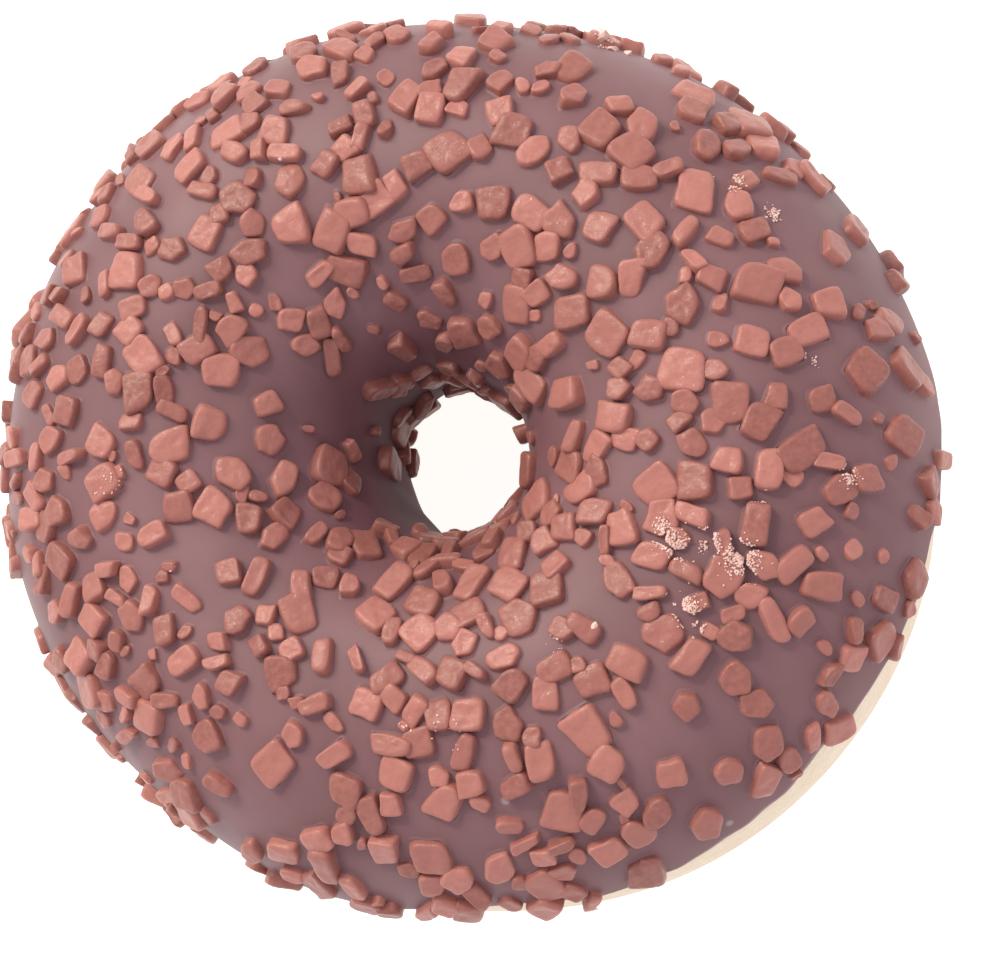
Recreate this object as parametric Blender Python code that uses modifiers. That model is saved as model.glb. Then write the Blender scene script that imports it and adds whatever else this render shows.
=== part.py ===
"""A ring doughnut that lies flat: fried dough, and over it an icing coat with chips of milk chocolate.

Metres, with +Z up. The origin is on the floor, in the middle of the ring. A point of the ring's surface is
named by two angles: "around" the ring from +X, and "across" it, which is 0 on the outer side, 90 degrees on
top, 180 in the hole and 270 underneath.
"""

import math
import random
from dataclasses import dataclass

import bmesh
import bpy
from mathutils import Matrix, Vector

# The dough ring, a little oval, which bulges where it's bare, with a hole that sits a little off its middle
RING_RADIUS = 0.0446
RING_HEIGHT = 0.0325
WIDEST_AT = 0.0150
OVAL, OVAL_TURN = 0.0019, math.radians(-17)
BARE_BULGE = 0.0020
HOLE_RADIUS = 0.0095
HOLE_SHIFT, HOLE_SHIFT_TURN = 0.0007, math.radians(6)
HOLE_OVAL, HOLE_OVAL_TURN = 0.0007, math.radians(-62)

# How much fuller than an ellipse the section is, how much of that moves from top to foot, and how far the
# section would reach below the floor if it weren't flat there
FULLNESS, FULLNESS_SHIFT = 0.035, 0.025
SQUASH = 0.08
FOOT_BLEND = 0.0006

# Slow unevenness: turns around, turns across, share of the section's size, and phase
LUMPS = (
    (2, 1, 0.013, 6.1),
    (3, -2, 0.010, 2.3),
    (5, 2, 0.005, 1.6),
    (7, -3, 0.004, 0.8),
)

# The icing coat. Its outer edge runs low on the far side and rises where the bare dough shows, with waves of
# so many turns, height and phase. Its inner edge is low in the hole.
ICING = 0.0012
ICING_GAP = 0.0003
EDGE_LOW, EDGE_RISE = math.radians(-8), math.radians(34.5)
BARE_MIDDLE, BARE_REACH = math.radians(-62), math.radians(101)
EDGE_WAVES = ((5, 0.060, 1.9), (9, 0.028, 0.5), (17, 0.010, 4.4))
HOLE_EDGE = math.radians(212)
EDGE_BAND = math.radians(4)
EDGE_THICKNESS = 0.5

# Kinds of chip: share of all, shortest and longest, narrowest and widest as a share of the length, thickness,
# and number of corners
CHIP_KINDS = (
    (0.43, 0.0021, 0.0038, 0.74, 1.00, 0.0014, 4),
    (0.20, 0.0023, 0.0037, 0.45, 0.60, 0.0015, 4),
    (0.18, 0.0022, 0.0035, 0.72, 0.95, 0.0013, 5),
    (0.19, 0.0011, 0.0022, 0.60, 0.90, 0.0011, 4),
)
CHIPS_ON_RING = 760
CHIPS_AS_SOLIDS = 286
CHIP_SEED = 7
CHIP_TRIES = 300
CORNER_WANDER, THICKNESS_WANDER = 0.16, 0.15
CHIP_SINK = 0.0005
CHIP_TAPER = 0.0003
CHIP_LEAN = math.radians(16)
CHIP_SPACING = 0.82

# Chips thin out towards the icing's outer edge and down the wall of the hole, over these angles across
SIDE_FULL, SIDE_FEW = math.radians(60), math.radians(-25)
HOLE_FULL, HOLE_FEW = math.radians(140), math.radians(225)
FEW = 0.12

# Places on top, above a height, where chips are few and where they crowd, each with its middle and radius
PLACES_ABOVE = 0.022
BARE_PLACES = (
    (0.0270, -0.0275, 0.0060),
    (-0.0185, -0.0120, 0.0040),
    (-0.0080, 0.0024, 0.0070),
    (-0.0030, 0.0095, 0.0050),
    (0.0210, 0.0356, 0.0050),
    (0.0180, 0.0047, 0.0025),
    (0.0052, 0.0169, 0.0040),
    (-0.0123, 0.0183, 0.0035),
    (-0.0138, -0.0317, 0.0055),
    (0.0251, -0.0189, 0.0030),
    (0.0372, 0.0186, 0.0040),
)
CROWDED_PLACES = (
    (0.0076, -0.0209, 0.0095),
    (0.0153, -0.0057, 0.0050),
    (-0.0251, 0.0136, 0.0065),
    (-0.0311, 0.0046, 0.0055),
    (0.0037, 0.0302, 0.0075),
    (0.0173, 0.0143, 0.0045),
    (0.0294, 0.0093, 0.0055),
    (0.0329, -0.0011, 0.0050),
    (-0.0028, -0.0350, 0.0040),
    (0.0212, -0.0326, 0.0055),
    (0.0296, 0.0296, 0.0050),
)
BARE_SHARE, USUAL_SHARE = 0.08, 0.55

# Faces of the solids
AROUND_STEPS = 54
COAT_ROWS = 14
UNDER_ROWS = 7

# Moves the middle of the whole, chips and all, over the origin
CENTRING = Vector((-0.0003, 0.0005, 0))

# Colour and roughness
DOUGH_LOOK = ((0.66, 0.50, 0.31), 0.8)
ICING_LOOK = ((0.13, 0.06, 0.06), 0.35)
SHARP_ANGLE = math.radians(35)


@dataclass
class Chip:
    """A chip's outline, lying flat round its own middle, and how it lies on the icing."""

    corners: list
    thickness: float
    reach: float
    turn: float
    lean: float
    lean_turn: float
    around: float = 0.0
    across: float = 0.0


def main():
    clear_scene()
    parts = new_collection("doughnut")
    make_dough(parts)
    make_icing(parts)


def clear_scene():
    for thing in list(bpy.data.objects):
        bpy.data.objects.remove(thing)


def new_collection(name):
    collection = bpy.data.collections.new(name)
    bpy.context.scene.collection.children.link(collection)
    return collection


# The ring's surface


def outer_radius(around):
    return RING_RADIUS + OVAL * math.cos(2 * (around - OVAL_TURN)) + BARE_BULGE * bareness(around)


def bareness(around):
    """From 0 where the icing runs low to 1 where the bare dough shows most."""
    turn = (around - BARE_MIDDLE + math.pi) % math.tau - math.pi
    return (1 + math.cos(math.pi * min(1, abs(turn) / BARE_REACH))) / 2


def hole_radius(around):
    shift = HOLE_SHIFT * math.cos(around - HOLE_SHIFT_TURN)
    return HOLE_RADIUS + shift + HOLE_OVAL * math.cos(2 * (around - HOLE_OVAL_TURN))


def above_floor(height):
    """The height, held at 0 below the floor, with a short curve where the side turns into the flat foot."""
    if height <= -FOOT_BLEND:
        return 0.0
    if height >= FOOT_BLEND:
        return height
    return (height + FOOT_BLEND) ** 2 / (4 * FOOT_BLEND)


def surface_point(around, across):
    """A point of the dough's surface: a rounded section, fuller than an ellipse, that follows the ring."""
    full = FULLNESS - FULLNESS_SHIFT * math.sin(across)
    out = (math.cos(across) - full * math.cos(3 * across)) / (1 - full)
    up = (math.sin(across) + full * math.sin(3 * across)) / (1 - full)
    lump = 1 + sum(
        share * math.cos(turns * around + crossing * across + phase)
        for turns, crossing, share, phase in LUMPS
    )
    outside, hole = outer_radius(around), hole_radius(around)
    radius = (outside + hole) / 2 + (outside - hole) / 2 * out * lump
    half_height = RING_HEIGHT - WIDEST_AT if up > 0 else WIDEST_AT * (1 + SQUASH)
    height = above_floor(WIDEST_AT + half_height * up * lump)
    return Vector((radius * math.cos(around), radius * math.sin(around), height))


def surface_axes(around, across):
    """The directions along the ring, across it and out of it, at a point of its surface."""
    step = 1e-3
    along = surface_point(around + step, across) - surface_point(around - step, across)
    over = surface_point(around, across + step) - surface_point(around, across - step)
    out = along.cross(over).normalized()
    along.normalize()
    return along, out.cross(along), out


def raised_point(around, across, lift):
    return surface_point(around, across) + lift * surface_axes(around, across)[2]


# The dough and the coat share their rows, so that the coat's inside lies parallel to the dough


def outer_edge(around):
    return EDGE_LOW + EDGE_RISE * bareness(around) + edge_waves(around)


def inner_edge(around):
    return HOLE_EDGE + edge_waves(-around)


def edge_waves(around):
    return sum(height * math.cos(turns * around + phase) for turns, height, phase in EDGE_WAVES)


def across_of_row(around, row):
    """Rows run from the coat's outer edge over the top to its inner edge, and on underneath."""
    start, end = outer_edge(around), inner_edge(around)
    last = COAT_ROWS - 1
    if row > last:
        return end + (start + math.tau - end) * (row - last) / (UNDER_ROWS + 1)
    if row in (0, last):
        return start if row == 0 else end
    first, spread = start + EDGE_BAND, end - start - 2 * EDGE_BAND
    return first + spread * (row - 1) / (last - 2)


def ring_mesh(name, rows, lift):
    """A torus of that many rows, laid on the surface and raised off it."""
    bpy.ops.mesh.primitive_torus_add(major_segments=AROUND_STEPS, minor_segments=rows)
    ring = bpy.context.object
    ring.name = ring.data.name = name
    for vertex in ring.data.vertices:
        step, row = divmod(vertex.index, rows)
        around = math.tau * step / AROUND_STEPS
        vertex.co = raised_point(around, across_of_row(around, row), lift)
    return ring


def make_dough(collection):
    dough = ring_mesh("dough", COAT_ROWS + UNDER_ROWS, 0)
    finish(dough, collection, plain_material("dough", *DOUGH_LOOK))


# The icing


def make_icing(collection):
    """The coat is an open band off the dough, thickened outwards, with the largest chips fused to it."""
    icing = ring_mesh("icing", COAT_ROWS, ICING_GAP)
    open_underneath(icing.data)
    thicken(icing)
    fuse_chips(icing)
    finish(icing, collection, plain_material("icing", *ICING_LOOK))


def open_underneath(mesh):
    """Takes out the strip of the torus that joins the coat's two edges."""
    work = bmesh.new()
    work.from_mesh(mesh)
    edge_rows = {0, COAT_ROWS - 1}
    strip = [face for face in work.faces if {v.index % COAT_ROWS for v in face.verts} == edge_rows]
    bmesh.ops.delete(work, geom=strip, context="FACES_ONLY")
    work.to_mesh(mesh)
    work.free()


def thicken(icing):
    """Gives the coat its thickness, which is less at the two edges."""
    full = icing.vertex_groups.new(name="full thickness")
    inside = [v.index for v in icing.data.vertices if 0 < v.index % COAT_ROWS < COAT_ROWS - 1]
    full.add(inside, 1.0, "REPLACE")
    coat = icing.modifiers.new("coat", "SOLIDIFY")
    coat.thickness = ICING
    coat.offset = 1
    coat.vertex_group = full.name
    coat.thickness_vertex_group = EDGE_THICKNESS
    apply_modifier(icing, coat)


def fuse_chips(icing):
    chips = new_collection("chips")
    for chip in chips_on_ring(CHIPS_AS_SOLIDS):
        chips.objects.link(chip_solid(chip))
    union = icing.modifiers.new("chips", "BOOLEAN")
    union.operation = "UNION"
    union.solver = "MANIFOLD"
    union.operand_type = "COLLECTION"
    union.collection = chips
    apply_modifier(icing, union)
    for chip in list(chips.objects):
        bpy.data.objects.remove(chip)
    bpy.data.collections.remove(chips)


def chip_solid(chip):
    """A slab that tapers a little towards its top and reaches down into the coat."""
    work = bmesh.new()
    foot = work.faces.new([work.verts.new((x, y, -CHIP_SINK)) for x, y in chip.corners])
    raised = bmesh.ops.extrude_face_region(work, geom=[foot])["geom"]
    top = [corner for corner in raised if isinstance(corner, bmesh.types.BMVert)]
    taper = 1 - 2 * CHIP_TAPER / chip.reach
    bmesh.ops.scale(work, verts=top, vec=(taper, taper, 1))
    bmesh.ops.translate(work, verts=top, vec=(0, 0, chip.thickness))
    bmesh.ops.recalc_face_normals(work, faces=work.faces)
    work.transform(chip_frame(chip))
    mesh = bpy.data.meshes.new("chip")
    work.to_mesh(mesh)
    work.free()
    return bpy.data.objects.new("chip", mesh)


# The chips' shapes and places


def chips_on_ring(count):
    """The largest chips, in order of size. Each takes its place before the smaller ones do."""
    draw = random.Random(CHIP_SEED)
    chips = sorted((chip_shape(draw) for _ in range(CHIPS_ON_RING)), key=lambda chip: -chip.reach)[:count]
    taken = []
    for chip in chips:
        chip.around, chip.across = free_place(draw, chip.reach, taken)
        taken.append((surface_point(chip.around, chip.across), chip.reach))
    return chips


def chip_shape(draw):
    kind = draw.choices(CHIP_KINDS, weights=[kind[0] for kind in CHIP_KINDS])[0]
    _, shortest, longest, narrowest, widest, thickness, count = kind
    length = draw.uniform(shortest, longest)
    width = length * draw.uniform(narrowest, widest)
    return Chip(
        corners=chip_corners(draw, length, width, count),
        thickness=thickness * (1 + draw.uniform(-THICKNESS_WANDER, THICKNESS_WANDER)),
        reach=(length + width) / 2,
        turn=draw.uniform(0, math.tau),
        lean=draw.uniform(0, 1) ** 2 * CHIP_LEAN,
        lean_turn=draw.uniform(0, math.tau),
    )


def chip_corners(draw, length, width, count):
    """Corners on an oval round the chip, so far out that its sides are the length and width apart."""
    corners = []
    for i in range(count):
        angle = math.tau * (i + 0.5 + draw.uniform(-CORNER_WANDER, CORNER_WANDER)) / count
        out = (1 + draw.uniform(-CORNER_WANDER, CORNER_WANDER)) / math.cos(math.pi / count) / 2
        corners.append((length * out * math.cos(angle), width * out * math.sin(angle)))
    return corners


def free_place(draw, reach, taken):
    """A place drawn evenly over the coat, kept if chips like to lie there and none lies too near."""
    for _ in range(CHIP_TRIES):
        around = draw.uniform(0, math.tau)
        across = draw.uniform(outer_edge(around) + EDGE_BAND, inner_edge(around) - EDGE_BAND)
        point = surface_point(around, across)
        even = math.hypot(point.x, point.y) / (RING_RADIUS + OVAL)
        wanted = draw.random() < even * liking(point, across)
        if wanted and clear_of_others(point, reach, taken):
            break
    return around, across


def clear_of_others(point, reach, taken):
    return all((point - other).length > CHIP_SPACING * (reach + size) / 2 for other, size in taken)


def liking(point, across):
    """How readily chips lie at a place, from 0 to 1."""
    side = fade(across, SIDE_FEW, SIDE_FULL) * fade(across, HOLE_FEW, HOLE_FULL)
    return max(FEW, side) * top_share(point)


def fade(value, none, full):
    return min(1, max(0, (value - none) / (full - none)))


def top_share(point):
    if point.z < PLACES_ABOVE:
        return USUAL_SHARE
    for places, share in ((BARE_PLACES, BARE_SHARE), (CROWDED_PLACES, 1)):
        if any(math.hypot(point.x - x, point.y - y) < radius for x, y, radius in places):
            return share
    return USUAL_SHARE


def chip_frame(chip):
    """Lays a chip on the icing, turned about the way out of the surface and leaning a little."""
    along, over, out = surface_axes(chip.around, chip.across)
    lying = Matrix((along, over, out)).transposed()
    turned = Matrix.Rotation(chip.lean_turn, 3, "Z") @ Matrix.Rotation(chip.lean, 3, "X")
    turned = turned @ Matrix.Rotation(chip.turn, 3, "Z")
    place = raised_point(chip.around, chip.across, ICING_GAP + ICING)
    return Matrix.Translation(place) @ (lying @ turned).to_4x4()


# Helpers


def apply_modifier(thing, modifier):
    with bpy.context.temp_override(object=thing, active_object=thing, selected_objects=[thing]):
        bpy.ops.object.modifier_apply(modifier=modifier.name)


def finish(thing, collection, material):
    for other in list(thing.users_collection):
        other.objects.unlink(thing)
    collection.objects.link(thing)
    thing.data.transform(Matrix.Translation(CENTRING))
    thing.data.materials.clear()
    thing.data.materials.append(material)
    thing.data.set_sharp_from_angle(angle=SHARP_ANGLE)


def plain_material(name, colour, roughness):
    material = bpy.data.materials.new(name)
    material.use_nodes = True
    shader = material.node_tree.nodes["Principled BSDF"]
    shader.inputs["Base Color"].default_value = (*colour, 1)
    shader.inputs["Roughness"].default_value = roughness
    return material


if __name__ == "__main__":
    main()
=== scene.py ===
import math
import random
from dataclasses import dataclass

import bmesh
import bpy
import numpy as np
from mathutils import Euler, Matrix, Vector
from mathutils.bvhtree import BVHTree

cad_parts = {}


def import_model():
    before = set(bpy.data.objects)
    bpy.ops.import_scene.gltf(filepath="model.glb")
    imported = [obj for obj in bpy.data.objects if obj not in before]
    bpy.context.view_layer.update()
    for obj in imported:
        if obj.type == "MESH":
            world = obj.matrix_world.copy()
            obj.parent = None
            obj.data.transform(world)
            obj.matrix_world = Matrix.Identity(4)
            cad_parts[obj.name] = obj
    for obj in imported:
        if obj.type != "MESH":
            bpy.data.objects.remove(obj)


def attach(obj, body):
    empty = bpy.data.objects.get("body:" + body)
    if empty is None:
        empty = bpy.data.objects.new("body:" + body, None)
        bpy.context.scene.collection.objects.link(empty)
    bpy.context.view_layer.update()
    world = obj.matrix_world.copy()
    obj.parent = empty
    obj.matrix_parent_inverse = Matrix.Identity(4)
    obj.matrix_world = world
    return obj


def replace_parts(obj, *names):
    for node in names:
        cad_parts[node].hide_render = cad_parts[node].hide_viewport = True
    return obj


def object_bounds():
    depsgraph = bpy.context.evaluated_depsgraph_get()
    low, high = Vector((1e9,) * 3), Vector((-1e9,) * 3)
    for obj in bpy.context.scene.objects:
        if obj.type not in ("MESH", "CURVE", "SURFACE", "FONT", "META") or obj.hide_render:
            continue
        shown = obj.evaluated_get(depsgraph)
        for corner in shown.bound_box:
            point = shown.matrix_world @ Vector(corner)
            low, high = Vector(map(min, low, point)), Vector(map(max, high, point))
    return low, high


# The dough ring, with the same sizes as its solid
RING_RADIUS = 0.0446
RING_HEIGHT = 0.0325
WIDEST_AT = 0.0150
OVAL, OVAL_TURN = 0.0019, math.radians(-17)
BARE_BULGE = 0.0020
HOLE_RADIUS = 0.0095
HOLE_SHIFT, HOLE_SHIFT_TURN = 0.0007, math.radians(6)
HOLE_OVAL, HOLE_OVAL_TURN = 0.0007, math.radians(-62)
FULLNESS, FULLNESS_SHIFT = 0.035, 0.025
SQUASH = 0.08
FOOT_BLEND = 0.0006
LUMPS = (
    (2, 1, 0.013, 6.1),
    (3, -2, 0.010, 2.3),
    (5, 2, 0.005, 1.6),
    (7, -3, 0.004, 0.8),
)
CENTRING = (-0.0003, 0.0005, 0.0)

# The icing coat
ICING, ICING_GAP = 0.0012, 0.0003
EDGE_LOW, EDGE_RISE = math.radians(-8), math.radians(34.5)
BARE_MIDDLE, BARE_REACH = math.radians(-62), math.radians(101)
EDGE_WAVES = ((5, 0.060, 1.9), (9, 0.028, 0.5), (17, 0.010, 4.4))
HOLE_EDGE = math.radians(212)
EDGE_BAND = math.radians(4)
EDGE_THICKNESS = 0.5

# The chips: share of all, shortest and longest, narrowest and widest as a share of the length, thickness,
# and number of corners
CHIP_KINDS = {
    "slabs": (0.43, 0.0021, 0.0038, 0.74, 1.00, 0.0014, 4),
    "rods": (0.20, 0.0023, 0.0037, 0.45, 0.60, 0.0015, 4),
    "blobs": (0.18, 0.0022, 0.0035, 0.72, 0.95, 0.0013, 5),
    "grains": (0.19, 0.0011, 0.0022, 0.60, 0.90, 0.0011, 4),
}
CHIPS_ON_RING = 760
CHIP_SEED = 7
CHIP_TRIES = 300
CORNER_WANDER, THICKNESS_WANDER = 0.16, 0.15
CHIP_SINK = 0.0005
CHIP_LEAN = math.radians(16)
CHIP_SPACING = 0.82
SIDE_FULL, SIDE_FEW = math.radians(60), math.radians(-25)
HOLE_FULL, HOLE_FEW = math.radians(140), math.radians(225)
FEW = 0.12
PLACES_ABOVE = 0.022
BARE_PLACES = (
    (0.0270, -0.0275, 0.0060),
    (-0.0185, -0.0120, 0.0040),
    (-0.0080, 0.0024, 0.0070),
    (-0.0030, 0.0095, 0.0050),
    (0.0210, 0.0356, 0.0050),
    (0.0180, 0.0047, 0.0025),
    (0.0052, 0.0169, 0.0040),
    (-0.0123, 0.0183, 0.0035),
    (-0.0138, -0.0317, 0.0055),
    (0.0251, -0.0189, 0.0030),
    (0.0372, 0.0186, 0.0040),
)
CROWDED_PLACES = (
    (0.0076, -0.0209, 0.0095),
    (0.0153, -0.0057, 0.0050),
    (-0.0251, 0.0136, 0.0065),
    (-0.0311, 0.0046, 0.0055),
    (0.0037, 0.0302, 0.0075),
    (0.0173, 0.0143, 0.0045),
    (0.0294, 0.0093, 0.0055),
    (0.0329, -0.0011, 0.0050),
    (-0.0028, -0.0350, 0.0040),
    (0.0212, -0.0326, 0.0055),
    (0.0296, 0.0296, 0.0050),
)
BARE_SHARE, USUAL_SHARE = 0.08, 0.55

# Fineness of the pieces
COAT_AROUND, COAT_ACROSS = 700, 140
DOUGH_AROUND, DOUGH_ACROSS = 360, 200

# Icing: it swells in slow waves, each with its turns around, its crossings and its phase, and has a ragged
# and rounded edge
SWELL = 0.00004
SWELL_WAVES = ((7, 5, 0), (-11, 9, 2))
RAGGED = ((29, 0.010, 0.5), (43, 0.008, 3.1), (71, 0.005, 1.2))
RAGGED_FADE = 8
EDGE_ROUNDING = math.radians(1.6)
EDGE_DENSITY = 0.85

# The collar of icing that clings round each chip: how far out from the outline, and how high on the icing
COLLAR = ((0.00028, -0.00004), (0.00016, 0.00001), (0.00005, 0.00005), (-0.00010, 0.00010))

# Chips: how far their corners are cut back and how far a side may be hollow or bulge, as shares of the side
CORNER_CUT = {"slabs": 0.11, "rods": 0.14, "blobs": 0.12, "grains": 0.20}
CORNER_CUT_LEAST, CORNER_CUT_MOST = 0.5, 1.6
SIDE_HOLLOW, SIDE_BULGE = 0.12, 0.13

# Their levels from the foot up, as shares of the outline and the thickness
CHIP_LEVELS = ((1.04, 0.0), (1.06, 0.45), (1.03, 0.84), (0.93, 0.99), (0.66, 1.02), (0.31, 1.02))

# How far the middle of a chip's top sags or swells, the top slopes, the sides slant and every point wanders
CHIP_SAG, CHIP_SWELL = -0.16, 0.10
CHIP_SLOPE, CHIP_SLANT, CHIP_WANDER = 0.28, 0.12, 0.024

# The lumps all over a chip
LUMP_SIZE, LUMP_HEIGHT = 0.0010, 0.00020

# Pale crumbs on the icing and the chips: where each cluster lies, as degrees around the ring and across it,
# its radius and its number of grains
CRUMB_CLUSTERS = (
    (340.5, 94.5, 0.0007, 110),
    (338.0, 92.0, 0.0011, 220),
    (337.5, 89.0, 0.0009, 170),
    (340.0, 82.0, 0.0010, 170),
    (339.5, 74.0, 0.0015, 460),
    (329.5, 81.0, 0.0012, 220),
    (327.5, 76.5, 0.0006, 50),
    (353.0, 51.0, 0.0008, 90),
    (348.5, 72.0, 0.0005, 14),
    (35.0, 52.0, 0.0010, 130),
    (29.0, 47.5, 0.0008, 80),
    (8.0, 56.5, 0.0006, 16),
    (66.0, 22.0, 0.0012, 60),
    (187.0, 84.0, 0.0022, 26),
    (208.5, 93.0, 0.0010, 5),
    (281.5, 91.5, 0.0016, 16),
    (272.5, 93.0, 0.0010, 8),
    (309.0, 101.0, 0.0012, 12),
    (290.5, 24.0, 0.0008, 16),
)
CRUMB_SIZE = (0.00003, 0.00013)
CRUMB_FLATNESS, CRUMB_RAGGEDNESS = 0.6, 0.6
CRUMB_PILE = 1.5

# Larger crumbs: where each lies, its length and its thickness, and the length of all over their width
LARGE_CRUMBS = (
    (66.5, 22.0, 0.0016, 0.0011),
    (64.5, 23.0, 0.0013, 0.0009),
    (62.5, 22.0, 0.0009, 0.0008),
    (341.5, 82.0, 0.0007, 0.0003),
    (339.5, 74.0, 0.0012, 0.0003),
    (329.5, 81.0, 0.0010, 0.0003),
    (317.0, 97.0, 0.0008, 0.0002),
    (113.0, 83.0, 0.0007, 0.0002),
)
LARGE_CRUMB_OVAL = 1.3

# A crumb rests on whatever is nearest to a point this high above the dough
DROP_HEIGHT = 0.0024
CRUMB_SEED = 5

# Colours, from the darker to the paler of each
ICING_BROWN = ((0.162, 0.075, 0.082), (0.200, 0.097, 0.106))
# Painted shade: the icing's colour on the hole's wall, where less light reaches
ICING_HOLE_SHADE = (0.060, 0.005, 0.020)
ICING_BLOOM = (0.42, 0.40, 0.44)
CHIP_BROWN = ((0.230, 0.071, 0.057), (0.405, 0.146, 0.118))
# Painted shade: the chips' colour on the hole's wall, where less light reaches
CHIP_HOLE_SHADE = (0.120, 0.030, 0.025)
CHIP_SPECK = (0.335, 0.114, 0.090)
CRUMB_PINK = ((0.55, 0.28, 0.23), (0.85, 0.62, 0.56))
DOUGH_GOLD = ((0.42, 0.22, 0.075), (0.55, 0.32, 0.12))
DOUGH_CREAM = ((0.65, 0.51, 0.37), (0.75, 0.63, 0.52))
FLOOR_WHITE = ((0.49, 0.49, 0.48), (0.51, 0.51, 0.50))

# Distances from the middle of the hole between which the painted shade on its wall fades out
IN_HOLE, OUT_OF_HOLE = 0.0095, 0.018

# Light: the sky's, and each lamp's place, size, power and tint
SKY, SKY_STRENGTH = (0.99, 0.985, 1.02), 1.02
LAMPS = {
    "window": ((-0.55, 0.55, 0.75), 0.45, 7.5, (1.0, 0.97, 0.76)),
    "small window": ((-0.20, 0.35, 0.60), 0.04, 1.2, (1.0, 1.0, 1.0)),
}
FLOOR_GLOW = 1.75

# The camera looks down from the right and a little from the front
VIEW_TILT, VIEW_TURN, VIEW_DISTANCE = math.radians(20), math.radians(-22), 0.240
AIM = (0.0, 0.0, 0.017)
LENS = 86.4
SHIFT_X, SHIFT_Y = 0.0473, -0.0208


@dataclass
class Chip:
    """A chip's outline, lying flat round its own middle, and how it lies on the icing."""

    kind: str
    corners: list
    thickness: float
    reach: float
    turn: float
    lean: float
    lean_turn: float
    around: float = 0.0
    across: float = 0.0


def main():
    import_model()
    cad_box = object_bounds()
    chips = chips_on_ring()
    make_dough(cad_box)
    coat = make_icing(cad_box)
    make_collars(chips, coat, cad_box)
    make_crumbs([coat, *make_chips(chips, cad_box)], cad_box)
    make_floor()
    make_light()
    make_camera()


# The ring's surface


def outer_radius(around):
    return RING_RADIUS + OVAL * np.cos(2 * (around - OVAL_TURN)) + BARE_BULGE * bareness(around)


def bareness(around):
    """From 0 where the icing runs low to 1 where the bare dough shows most."""
    turn = (around - BARE_MIDDLE + math.pi) % math.tau - math.pi
    return (1 + np.cos(math.pi * np.minimum(1, np.abs(turn) / BARE_REACH))) / 2


def hole_radius(around):
    shift = HOLE_SHIFT * np.cos(around - HOLE_SHIFT_TURN)
    return HOLE_RADIUS + shift + HOLE_OVAL * np.cos(2 * (around - HOLE_OVAL_TURN))


def above_floor(height):
    """The height, held at 0 below the floor, with a short curve where the side turns into the flat foot."""
    bent = np.clip(height, -FOOT_BLEND, FOOT_BLEND)
    return (bent + FOOT_BLEND) ** 2 / (4 * FOOT_BLEND) + np.maximum(height - FOOT_BLEND, 0)


def surface_point(around, across):
    """Points of the dough's surface, named by their angles around the ring and across it."""
    full = FULLNESS - FULLNESS_SHIFT * np.sin(across)
    out = (np.cos(across) - full * np.cos(3 * across)) / (1 - full)
    up = (np.sin(across) + full * np.sin(3 * across)) / (1 - full)
    lump = 1 + sum(
        share * np.cos(turns * around + crossing * across + phase)
        for turns, crossing, share, phase in LUMPS
    )
    outside, hole = outer_radius(around), hole_radius(around)
    radius = (outside + hole) / 2 + (outside - hole) / 2 * out * lump
    half_height = np.where(up > 0, RING_HEIGHT - WIDEST_AT, WIDEST_AT * (1 + SQUASH))
    height = above_floor(WIDEST_AT + half_height * up * lump)
    return np.stack([radius * np.cos(around), radius * np.sin(around), height], axis=-1)


def surface_axes(around, across):
    """The directions along the ring, across it and out of it, at points of its surface."""
    step = 1e-3
    along = unit(surface_point(around + step, across) - surface_point(around - step, across))
    over = surface_point(around, across + step) - surface_point(around, across - step)
    out = unit(np.cross(along, over))
    return along, np.cross(out, along), out


def unit(vectors):
    return vectors / np.linalg.norm(vectors, axis=-1, keepdims=True)


def raised_point(around, across, lift):
    return surface_point(around, across) + np.asarray(lift)[..., None] * surface_axes(around, across)[2]


def outer_edge(around):
    return EDGE_LOW + EDGE_RISE * bareness(around) + edge_waves(around)


def inner_edge(around):
    return HOLE_EDGE + edge_waves(-around)


def edge_waves(around):
    return sum(height * np.cos(turns * around + phase) for turns, height, phase in EDGE_WAVES)


# The chips' shapes and places, by the same rule and the same draw as in their solids


def chips_on_ring():
    draw = random.Random(CHIP_SEED)
    chips = sorted((chip_shape(draw) for _ in range(CHIPS_ON_RING)), key=lambda chip: -chip.reach)
    taken, sizes = np.empty((0, 3)), np.empty(0)
    for chip in chips:
        chip.around, chip.across = free_place(draw, chip.reach, taken, sizes)
        taken = np.vstack([taken, surface_point(chip.around, chip.across)])
        sizes = np.append(sizes, chip.reach)
    return chips


def chip_shape(draw):
    kind = draw.choices(list(CHIP_KINDS), weights=[values[0] for values in CHIP_KINDS.values()])[0]
    _, shortest, longest, narrowest, widest, thickness, count = CHIP_KINDS[kind]
    length = draw.uniform(shortest, longest)
    width = length * draw.uniform(narrowest, widest)
    return Chip(
        kind=kind,
        corners=chip_corners(draw, length, width, count),
        thickness=thickness * (1 + draw.uniform(-THICKNESS_WANDER, THICKNESS_WANDER)),
        reach=(length + width) / 2,
        turn=draw.uniform(0, math.tau),
        lean=draw.uniform(0, 1) ** 2 * CHIP_LEAN,
        lean_turn=draw.uniform(0, math.tau),
    )


def chip_corners(draw, length, width, count):
    """Corners on an oval round the chip, so far out that its sides are the length and width apart."""
    corners = []
    for i in range(count):
        angle = math.tau * (i + 0.5 + draw.uniform(-CORNER_WANDER, CORNER_WANDER)) / count
        out = (1 + draw.uniform(-CORNER_WANDER, CORNER_WANDER)) / math.cos(math.pi / count) / 2
        corners.append((length * out * math.cos(angle), width * out * math.sin(angle)))
    return corners


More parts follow.
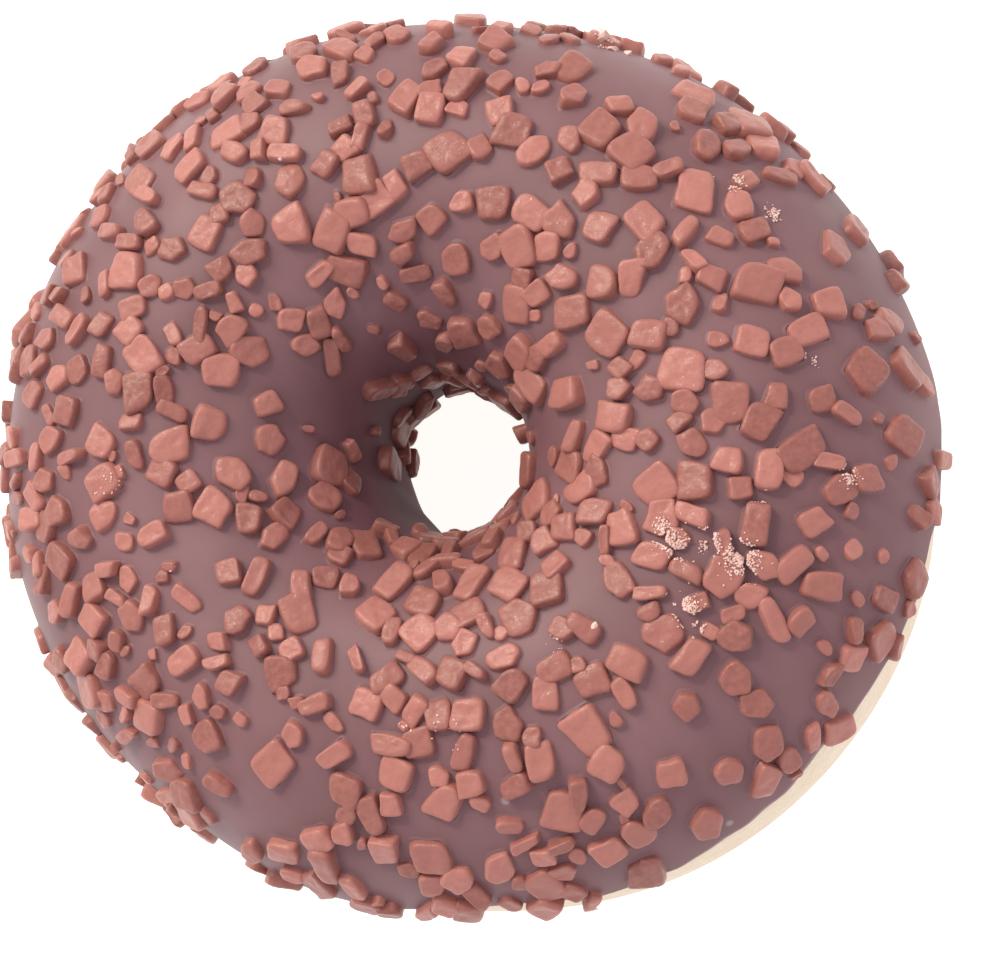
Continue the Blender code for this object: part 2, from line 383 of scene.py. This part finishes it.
def free_place(draw, reach, taken, sizes):
    """A place drawn evenly over the coat, kept if chips like to lie there and none lies too near."""
    for _ in range(CHIP_TRIES):
        around = draw.uniform(0, math.tau)
        across = draw.uniform(outer_edge(around) + EDGE_BAND, inner_edge(around) - EDGE_BAND)
        point = surface_point(around, across)
        even = math.hypot(point[0], point[1]) / (RING_RADIUS + OVAL)
        wanted = draw.random() < even * liking(point, across)
        if wanted and np.all(np.linalg.norm(taken - point, axis=1) > CHIP_SPACING * (reach + sizes) / 2):
            break
    return around, across


def liking(point, across):
    """How readily chips lie at a place, from 0 to 1."""
    side = fade(across, SIDE_FEW, SIDE_FULL) * fade(across, HOLE_FEW, HOLE_FULL)
    return max(FEW, side) * top_share(point)


def fade(value, none, full):
    return min(1, max(0, (value - none) / (full - none)))


def top_share(point):
    if point[2] < PLACES_ABOVE:
        return USUAL_SHARE
    for places, share in ((BARE_PLACES, BARE_SHARE), (CROWDED_PLACES, 1)):
        if any(math.hypot(point[0] - x, point[1] - y) < radius for x, y, radius in places):
            return share
    return USUAL_SHARE


def chip_frame(chip):
    """A chip's middle on the icing, and its own three directions as the columns of a matrix."""
    lying = np.stack(surface_axes(chip.around, chip.across), axis=-1)
    turned = Matrix.Rotation(chip.lean_turn, 3, "Z") @ Matrix.Rotation(chip.lean, 3, "X")
    turned = turned @ Matrix.Rotation(chip.turn, 3, "Z")
    return raised_point(chip.around, chip.across, ICING_GAP + ICING), lying @ np.array(turned)


# Pieces


def grid_mesh(name, points, closed_across, cad_box):
    """A mesh of a grid of points that closes on itself around the ring, and across it if asked."""
    steps, rows = points.shape[:2]
    points = drawn_in(points.reshape(-1, 3) + CENTRING, cad_box)
    index = np.arange(steps * rows).reshape(steps, rows)
    if closed_across:
        index = np.concatenate([index, index[:, :1]], axis=1)
    index = np.concatenate([index, index[:1]], axis=0)
    corners = (index[:-1, :-1], index[1:, :-1], index[1:, 1:], index[:-1, 1:])
    faces = np.stack([corner.ravel() for corner in corners], axis=-1)
    mesh = bpy.data.meshes.new(name)
    mesh.from_pydata(points.tolist(), [], faces.tolist())
    mesh.shade_smooth()
    return mesh


def drawn_in(points, box):
    """The points, drawn in a hair where their smooth curve would reach out of the solids' box."""
    low, high = np.array(box[0]), np.array(box[1])
    sides = np.minimum(low[:2] / points.min(axis=0)[:2], high[:2] / points.max(axis=0)[:2])
    top = high[2] / points[:, 2].max()
    return points * np.minimum(1, [*sides, top])


def add_piece(name, mesh, material):
    piece = bpy.data.objects.new(name, mesh)
    bpy.context.scene.collection.objects.link(piece)
    mesh.materials.append(material)
    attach(piece, "root")
    return piece


def make_dough(cad_box):
    around = np.linspace(0, math.tau, DOUGH_AROUND, endpoint=False)
    across = np.linspace(0, math.tau, DOUGH_ACROSS, endpoint=False)
    points = surface_point(*np.meshgrid(around, across, indexing="ij"))
    mesh = grid_mesh("dough_ring", points, True, cad_box)
    dough = add_piece("dough_ring", mesh, dough_material())
    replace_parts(dough, "dough")


def make_icing(cad_box):
    even = np.linspace(0, 1, COAT_ACROSS)
    closer_at_ends = even - EDGE_DENSITY * np.sin(math.tau * even) / math.tau
    around = np.linspace(0, math.tau, COAT_AROUND, endpoint=False)
    around, share = np.meshgrid(around, closer_at_ends, indexing="ij")
    ragged = sum(height * np.cos(turns * around + phase) for turns, height, phase in RAGGED)
    start, end = outer_edge(around) + ragged, inner_edge(around) + ragged
    across = start + (end - start) * share + ragged * ((2 * share - 1) ** RAGGED_FADE - 1)
    from_edge = np.minimum(across - start, end - across)
    rounding = np.sqrt(1 - (1 - np.clip(from_edge / EDGE_ROUNDING, 0, 1)) ** 2)
    thickness = EDGE_THICKNESS + (1 - EDGE_THICKNESS) * np.minimum(1, from_edge / EDGE_BAND)
    swell = sum(
        np.sin(turns * around + crossing * across + phase) for turns, crossing, phase in SWELL_WAVES
    )
    lift = (ICING_GAP + ICING * thickness + SWELL * swell) * rounding
    points = raised_point(around, across, lift)
    mesh = grid_mesh("icing_coat", points, False, cad_box)
    coat = add_piece("icing_coat", mesh, icing_material())
    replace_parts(coat, "icing")
    return coat


def make_collars(chips, coat, cad_box):
    """Icing that clings round the foot of each chip, hollow like a drawn-up liquid."""
    surface = surface_tree(coat)
    collars = bmesh.new()
    for number, chip in enumerate(chips):
        outline = rounded(uneven_outline(chip, random.Random(number)))
        out = unit(outline)
        rings = [
            list(map(collars.verts.new, on_icing(surface, chip, outline + distance * out, height)))
            for distance, height in COLLAR
        ]
        join_rings(collars, rings)
    keep_inside(collars, cad_box)
    mesh = bpy.data.meshes.new("icing_collars")
    collars.to_mesh(mesh)
    collars.free()
    mesh.shade_smooth()
    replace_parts(add_piece("icing_collars", mesh, coat.active_material), "icing")


def surface_tree(piece):
    """The piece's finished surface, to be asked for its nearest point."""
    bpy.context.view_layer.update()
    return BVHTree.FromObject(piece, bpy.context.evaluated_depsgraph_get())


def rounded(outline):
    """The outline with each corner cut once more, as a chip's own rounding does."""
    before, after = np.roll(outline, 1, axis=0), np.roll(outline, -1, axis=0)
    return np.stack([(3 * outline + before) / 4, (3 * outline + after) / 4], axis=1).reshape(-1, 2)


def on_icing(surface, chip, flat, height):
    """Points round a chip, as it lies turned on its place, moved to that height on the icing."""
    turn = chip.turn + chip.lean_turn
    along = math.cos(turn) * flat[:, 0] - math.sin(turn) * flat[:, 1]
    over = math.sin(turn) * flat[:, 0] + math.cos(turn) * flat[:, 1]
    step = 1e-3
    here = surface_point(chip.around, chip.across)
    around_length = np.linalg.norm(surface_point(chip.around + step, chip.across) - here) / step
    across_length = np.linalg.norm(surface_point(chip.around, chip.across + step) - here) / step
    around, across = chip.around + along / around_length, chip.across + over / across_length
    above = raised_point(around, across, ICING_GAP + ICING) + CENTRING
    hits = [surface.find_nearest(point)[:2] for point in above]
    return [point + height * normal for point, normal in hits]


def keep_inside(mesh, box):
    """Moves points that reach out of the solids' box back to its sides."""
    for vertex in mesh.verts:
        vertex.co = np.clip(vertex.co, *box)


def make_chips(chips, cad_box):
    look = chip_material()
    pieces = []
    for kind in CHIP_KINDS:
        cages = bmesh.new()
        for number, chip in enumerate(chips):
            if chip.kind == kind:
                add_cage(cages, chip, random.Random(number), cad_box)
        mesh = bpy.data.meshes.new("chip_" + kind)
        cages.to_mesh(mesh)
        cages.free()
        mesh.shade_smooth()
        piece = add_piece("chip_" + kind, mesh, look)
        rounding = piece.modifiers.new("rounding", "SUBSURF")
        rounding.levels = rounding.render_levels = 1
        lumps = piece.modifiers.new("lumps", "DISPLACE")
        lumps.texture = lump_texture()
        lumps.strength = LUMP_HEIGHT
        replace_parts(piece, "icing")
        pieces.append(piece)
    return pieces


def lump_texture():
    lumps = bpy.data.textures.new("lumps", "CLOUDS")
    lumps.noise_scale = LUMP_SIZE
    lumps.noise_depth = 1
    return lumps


def add_cage(cages, chip, draw, cad_box):
    """Rings of a chip's cut-back outline, one above the other, closed on top and open where it is sunk."""
    middle, axes = chip_frame(chip)
    outline = uneven_outline(chip, draw)
    slope = scatter(draw, CHIP_SLOPE, 2) / chip.reach
    slant = scatter(draw, CHIP_SLANT, len(outline))
    swell = draw.uniform(CHIP_SAG, CHIP_SWELL)
    levels = []
    for size, height in CHIP_LEVELS:
        spread = outline * (size + slant * (height - 0.5))[:, None]
        height += swell * max(0, 1 - size)
        lift = chip.thickness * height * (1 + spread @ slope) - CHIP_SINK
        wander = scatter(draw, CHIP_WANDER * chip.reach, 3 * len(outline)).reshape(-1, 3)
        levels.append(np.column_stack([spread, lift]) + wander)
    points = middle + np.array(levels) @ axes.T + CENTRING
    points += way_back_inside(points, cad_box)
    rings = [[cages.verts.new(point) for point in level] for level in points]
    join_rings(cages, rings)
    cages.faces.new(rings[-1])


def join_rings(mesh, rings):
    """Faces between each ring of points and the next."""
    for low, high in zip(rings, rings[1:]):
        for i in range(len(low)):
            after = (i + 1) % len(low)
            mesh.faces.new((low[i], low[after], high[after], high[i]))


def scatter(draw, size, count):
    return np.array([draw.uniform(-size, size) for _ in range(count)])


def uneven_outline(chip, draw):
    """Each corner is cut off more or less, and each side's middle bulges out or is hollow."""
    corners = np.array(chip.corners)
    outline = []
    for i, corner in enumerate(corners):
        after = corners[(i + 1) % len(corners)]
        cut = CORNER_CUT[chip.kind] * draw.uniform(CORNER_CUT_LEAST, CORNER_CUT_MOST)
        outline.append(corner + (corners[i - 1] - corner) * cut)
        outline.append(corner + (after - corner) * cut)
        outline.append((corner + after) / 2 * (1 + draw.uniform(-SIDE_HOLLOW, SIDE_BULGE)))
    return np.array(outline)


def way_back_inside(points, box):
    """The shift that brings a chip which reaches out of the solids' box, lumps and all, back into it."""
    low, high = np.array(box[0]) + LUMP_HEIGHT / 2, np.array(box[1]) - LUMP_HEIGHT / 2
    below = np.maximum(0, low - points.min(axis=(0, 1)))
    return below - np.maximum(0, points.max(axis=(0, 1)) - high)


def make_crumbs(toppings, cad_box):
    """Pale grains and larger crumbs, on whatever lies there."""
    trees = [surface_tree(piece) for piece in toppings]
    draw = random.Random(CRUMB_SEED)
    crumbs = bmesh.new()
    for around, across, radius, count in CRUMB_CLUSTERS:
        for _ in range(count):
            size = draw.uniform(*CRUMB_SIZE)
            aside = draw.gauss(0, radius / 2), draw.gauss(0, radius / 2)
            lift = Matrix.Translation((0, 0, size * draw.uniform(0, CRUMB_PILE)))
            place = resting_place(trees, around, across, aside) @ lift
            add_crumb(crumbs, draw, place, (size, size, size * CRUMB_FLATNESS))
    for around, across, length, thickness in LARGE_CRUMBS:
        place = resting_place(trees, around, across, (0, 0))
        add_crumb(crumbs, draw, place, (length / 2, length / 2 / LARGE_CRUMB_OVAL, thickness / 2))
    keep_inside(crumbs, cad_box)
    mesh = bpy.data.meshes.new("crumbs")
    crumbs.to_mesh(mesh)
    crumbs.free()
    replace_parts(add_piece("crumbs", mesh, crumb_material()), "icing")


def resting_place(trees, around, across, aside):
    """The surface nearest to a point above the ring, and the way it faces, as a matrix."""
    angles = math.radians(around), math.radians(across)
    along, over, _ = surface_axes(*angles)
    above = raised_point(*angles, DROP_HEIGHT) + aside[0] * along + aside[1] * over + CENTRING
    point, normal = min((tree.find_nearest(above) for tree in trees), key=lambda hit: hit[3])[:2]
    return Matrix.Translation(point) @ normal.to_track_quat("Z", "Y").to_matrix().to_4x4()


def add_crumb(crumbs, draw, place, size):
    turned = place @ Matrix.Rotation(draw.uniform(0, math.tau), 4, "Z") @ Matrix.Diagonal((*size, 1))
    grain = bmesh.ops.create_icosphere(crumbs, subdivisions=1, radius=1, matrix=turned)["verts"]
    for vertex in grain:
        vertex.co += Vector(scatter(draw, min(size) * CRUMB_RAGGEDNESS, 3))


# Materials

# The places of a mix node's share and two colours among its inputs, and of the blend among its outputs
MIX_INPUTS, MIX_OUTPUT = (0, 6, 7), 2


class Nodes:
    """A material's nodes, added one by one and joined by the values given."""

    def __init__(self, name):
        self.material = bpy.data.materials.new(name)
        self.material.use_nodes = True
        self.tree = self.material.node_tree
        self.shader = self.tree.nodes["Principled BSDF"]

    def add(self, kind, inputs=None, **settings):
        node = self.tree.nodes.new(kind)
        for key, value in settings.items():
            setattr(node, key, value)
        self.fill(node, inputs or {})
        return node

    def fill(self, node, inputs):
        for key, value in inputs.items():
            if isinstance(value, bpy.types.NodeSocket):
                self.tree.links.new(value, node.inputs[key])
            else:
                node.inputs[key].default_value = value

    def noise(self, place, size, detail=3.0, roughness=0.5):
        """Cloudy noise whose features are about that size in metres, as a number from 0 to 1."""
        inputs = {"Vector": place, "Scale": 1 / size, "Detail": detail, "Roughness": roughness}
        return self.add("ShaderNodeTexNoise", inputs).outputs["Fac"]

    def spread(self, value, low, high, to_low=0.0, to_high=1.0):
        inputs = {"Value": value, "From Min": low, "From Max": high, "To Min": to_low, "To Max": to_high}
        return self.add("ShaderNodeMapRange", inputs).outputs["Result"]

    def blend(self, share, first, second):
        """A share of the second colour in the first, each a socket or its red, green and blue."""
        node = self.add("ShaderNodeMix", data_type="RGBA")
        colours = [
            value if isinstance(value, bpy.types.NodeSocket) else (*value, 1.0)
            for value in (first, second)
        ]
        self.fill(node, dict(zip(MIX_INPUTS, (share, *colours))))
        return node.outputs[MIX_OUTPUT]

    def place(self):
        return self.add("ShaderNodeTexCoord").outputs["Object"]

    def hole_shade_share(self, place, share):
        """That share of painted shade on the hole's wall, falling to none towards the crest of the ring."""
        level = self.add("ShaderNodeVectorMath", {0: place, 1: (1, 1, 0)}, operation="MULTIPLY")
        radius = self.add("ShaderNodeVectorMath", {0: level.outputs["Vector"]}, operation="LENGTH")
        return self.spread(radius.outputs["Value"], IN_HOLE, OUT_OF_HOLE, share, 0.0)

    def bump(self, height, distance, under=None):
        inputs = {"Height": height, "Distance": distance}
        if under is not None:
            inputs["Normal"] = under
        return self.add("ShaderNodeBump", inputs).outputs["Normal"]


def icing_material():
    look = Nodes("icing")
    place = look.place()
    cloud = look.spread(look.noise(place, 0.014), 0.35, 0.65)
    brown = look.blend(cloud, *ICING_BROWN)
    spots = look.add("ShaderNodeTexVoronoi", {"Vector": place, "Scale": 1 / 0.009}).outputs["Distance"]
    # Painted shade darkens the icing on the hole's wall
    brown = look.blend(look.hole_shade_share(place, 0.40), brown, ICING_HOLE_SHADE)
    hazy = look.blend(look.spread(spots, 0.025, 0.055, 0.4, 0.0), brown, ICING_BLOOM)
    depth = look.add("ShaderNodeSeparateXYZ", {"Vector": place}).outputs["Z"]
    roughness = look.spread(depth, 0.012, 0.027, 0.75, 0.50)
    ripple = look.bump(look.noise(place, 0.0030, 2.0), 0.00003)
    normal = look.bump(look.noise(place, 0.0004, 2.0), 0.000006, under=ripple)
    look.fill(look.shader, {"Base Color": hazy, "Roughness": roughness, "Normal": normal, "IOR": 1.46})
    look.fill(look.shader, {"Sheen Weight": 0.05, "Sheen Roughness": 0.5, "Specular IOR Level": 0.30})
    return look.material


def chip_material():
    look = Nodes("chips")
    place = look.place()
    each = look.add("ShaderNodeNewGeometry").outputs["Random Per Island"]
    tone = look.blend(each, *CHIP_BROWN)
    speck = look.spread(look.noise(place, 0.0005, 4.0), 0.40, 0.70, 0.0, 0.6)
    brown = look.blend(speck, tone, CHIP_SPECK)
    # Painted shade darkens the chips on the hole's wall
    brown = look.blend(look.hole_shade_share(place, 0.34), brown, CHIP_HOLE_SHADE)
    roughness = look.spread(look.noise(place, 0.0012), 0.3, 0.7, 0.42, 0.58)
    dents = look.bump(look.noise(place, 0.0009, 2.0), 0.00009)
    normal = look.bump(look.noise(place, 0.00022, 3.0), 0.00002, under=dents)
    look.fill(look.shader, {"Base Color": brown, "Roughness": roughness, "Normal": normal, "IOR": 1.46})
    wet = look.bump(look.noise(place, 0.0007, 2.0), 0.00022)
    look.fill(look.shader, {"Coat Weight": 0.14, "Coat Roughness": 0.12, "Coat Normal": wet})
    look.fill(look.shader, {"Sheen Weight": 0.08, "Sheen Roughness": 0.5, "Specular IOR Level": 0.4})
    return look.material


def crumb_material():
    look = Nodes("crumbs")
    place = look.place()
    pale = look.blend(look.noise(place, 0.0012), *CRUMB_PINK)
    look.fill(look.shader, {"Base Color": pale, "Roughness": 0.5, "IOR": 1.45})
    return look.material


def dough_material():
    look = Nodes("dough")
    place = look.place()
    height = look.add("ShaderNodeSeparateXYZ", {"Vector": place}).outputs["Z"]
    waves = look.spread(look.noise(place, 0.012), 0, 1, -0.002, 0.002)
    wavy = look.add("ShaderNodeMath", {0: height, 1: waves}, operation="ADD")
    rim = look.spread(wavy.outputs["Value"], 0.006, 0.0125)
    golden = look.blend(look.noise(place, 0.006), *DOUGH_GOLD)
    cream = look.blend(look.noise(place, 0.003, 5.0), *DOUGH_CREAM)
    pores = look.bump(look.noise(place, 0.0012, 6.0), 0.0005)
    brown = look.blend(rim, golden, cream)
    look.fill(look.shader, {"Base Color": brown, "Roughness": 0.75, "Normal": pores, "IOR": 1.4})
    return look.material


def floor_material():
    look = Nodes("floor")
    place = look.place()
    white = look.blend(look.noise(place, 0.05), *FLOOR_WHITE)
    look.fill(look.shader, {"Base Color": white, "Roughness": 0.7})
    look.fill(look.shader, {"Emission Color": white, "Emission Strength": FLOOR_GLOW})
    return look.material


# Floor, light and camera


def make_floor():
    bpy.ops.mesh.primitive_plane_add(size=4)
    floor = bpy.context.object
    floor.name = "floor"
    floor.data.materials.append(floor_material())


def make_light():
    world = bpy.data.worlds.new("studio")
    bpy.context.scene.world = world
    world.use_nodes = True
    sky = world.node_tree.nodes["Background"]
    sky.inputs["Color"].default_value = (*SKY, 1.0)
    sky.inputs["Strength"].default_value = SKY_STRENGTH
    for name, values in LAMPS.items():
        add_lamp(name, *values)
    bpy.context.scene.view_settings.view_transform = "Standard"


def add_lamp(name, place, size, power, tint):
    lamp = bpy.data.lights.new(name, "AREA")
    lamp.size = size
    lamp.energy = power
    lamp.color = tint
    holder = bpy.data.objects.new(name, lamp)
    holder.location = place
    holder.rotation_euler = (-Vector(place)).to_track_quat("-Z", "Y").to_euler()
    bpy.context.scene.collection.objects.link(holder)


def make_camera():
    aim = Vector(AIM) + Vector(CENTRING)
    back = Vector((0, 0, 1))
    back.rotate(Euler((0, VIEW_TILT, VIEW_TURN)))
    right = Vector((0, 1, 0)).cross(back).normalized()
    up = back.cross(right)
    facing = Matrix((right, up, back)).transposed().to_4x4()
    camera = bpy.data.objects.new("camera", bpy.data.cameras.new("camera"))
    camera.data.lens = LENS
    camera.data.clip_start = 0.01
    camera.data.shift_x, camera.data.shift_y = SHIFT_X, SHIFT_Y
    camera.matrix_world = Matrix.Translation(aim + VIEW_DISTANCE * back) @ facing
    bpy.context.scene.collection.objects.link(camera)
    bpy.context.scene.camera = camera


main()
